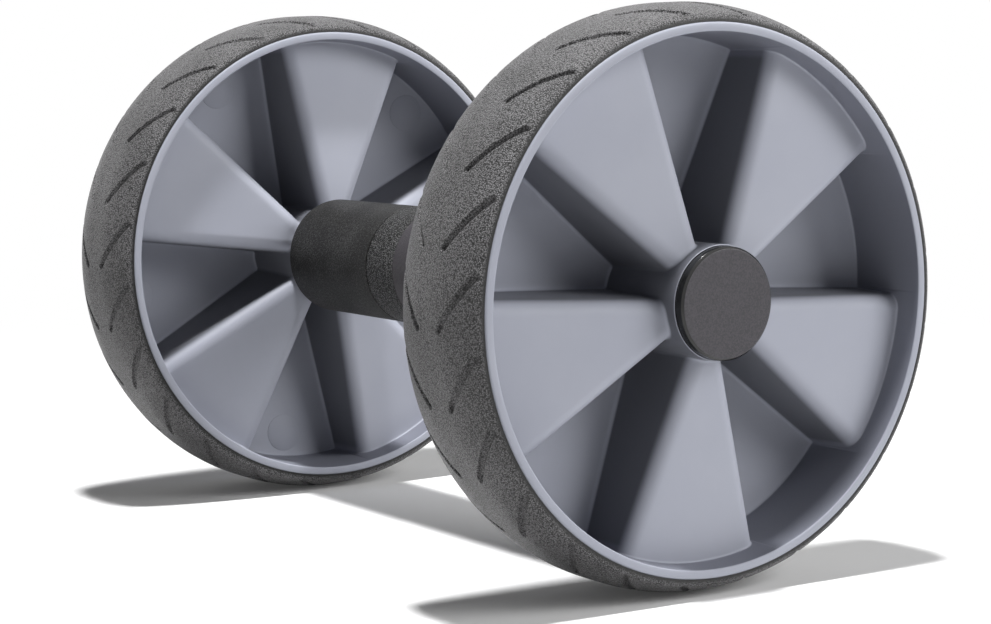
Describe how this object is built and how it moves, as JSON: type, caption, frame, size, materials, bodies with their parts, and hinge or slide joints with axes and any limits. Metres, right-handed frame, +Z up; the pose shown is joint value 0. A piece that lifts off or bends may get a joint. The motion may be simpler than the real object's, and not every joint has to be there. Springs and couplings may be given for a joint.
{
  "type": "ab wheel roller",
  "caption": "Ab wheel roller: wide rubber-tyred wheels with deep wedge spokes spin freely at both ends of an axle, with a rubber-sleeved hand grip between them.",
  "frame": {"origin": "on the floor under the middle of the axle", "axes": "+Y along the axle towards the left wheel, +X the way it rolls, +Z up"},
  "size_m": [0.18, 0.2806, 0.18],
  "materials": {
    "wheel_plastic": "satin moulded grey",
    "tyre_rubber": "sandy charcoal rubber",
    "grip_rubber": "fine-grained near-black rubber",
    "cap_plastic": "satin black",
    "plug_plastic": "moulded black",
    "bush_plastic": "natural acetal",
    "axle_steel": "drawn",
    "zinc_steel": "bright zinc plate"
  },
  "bodies": {
    "handle": {"axle_shaft": "axle_steel", "grip_core_tube": "axle_steel", "centre_grip_sleeve": "grip_rubber", "right_tube_plug": "plug_plastic", "right_grip_sleeve": "grip_rubber", "right_thrust_washer": "bush_plastic", "right_lock_washer": "zinc_steel", "right_lock_nut": "zinc_steel", "left_tube_plug": "plug_plastic", "left_grip_sleeve": "grip_rubber", "left_thrust_washer": "bush_plastic", "left_lock_washer": "zinc_steel", "left_lock_nut": "zinc_steel"},
    "right_wheel": {"right_wheel_body": "wheel_plastic", "right_tyre": "tyre_rubber", "right_inner_bush": "bush_plastic", "right_outer_bush": "bush_plastic", "right_hub_cap": "cap_plastic"},
    "left_wheel": {"left_wheel_body": "wheel_plastic", "left_tyre": "tyre_rubber", "left_inner_bush": "bush_plastic", "left_outer_bush": "bush_plastic", "left_hub_cap": "cap_plastic"}
  },
  "joints": [
    {"name": "left_wheel_spin", "type": "hinge", "parent": "handle", "child": "left_wheel", "pos_m": [0, 0.115, 0.09], "axis": [0, 1, 0], "continuous": true},
    {"name": "right_wheel_spin", "type": "hinge", "parent": "handle", "child": "right_wheel", "pos_m": [0, -0.115, 0.09], "axis": [0, 1, 0], "continuous": true}
  ]
}
